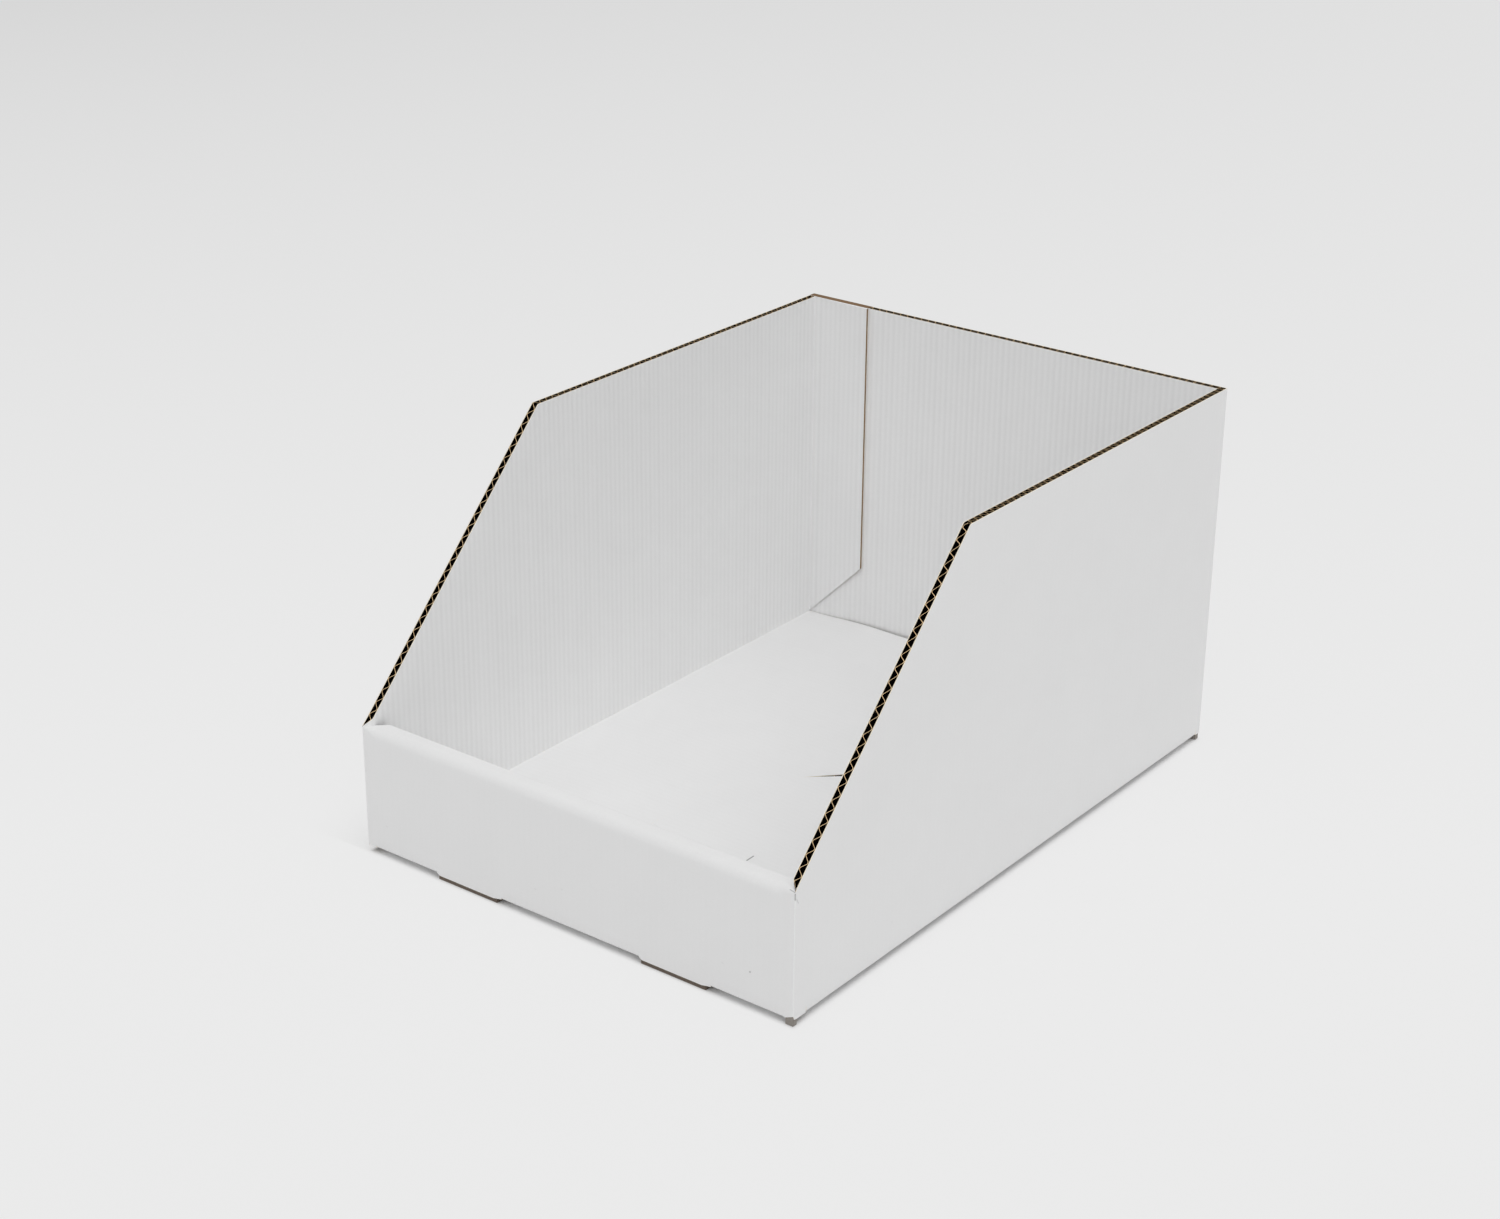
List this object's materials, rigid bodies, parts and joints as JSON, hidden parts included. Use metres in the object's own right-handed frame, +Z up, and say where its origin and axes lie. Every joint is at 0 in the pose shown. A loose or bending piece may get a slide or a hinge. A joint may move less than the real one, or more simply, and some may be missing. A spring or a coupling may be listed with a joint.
{
  "type": "display box",
  "caption": "Open-topped display box folded from one white corrugated sheet, with sloping sides, a low rolled front edge and a locking base.",
  "frame": {"origin": "centre of the box's outline on the surface that it stands on", "axes": "+X to the right across the width, +Y from the low front to the back wall, +Z up"},
  "size_m": [0.2, 0.28, 0.152],
  "materials": {
    "white_board": "matt"
  },
  "bodies": {
    "root": {"display_box": "white_board"}
  },
  "joints": []
}
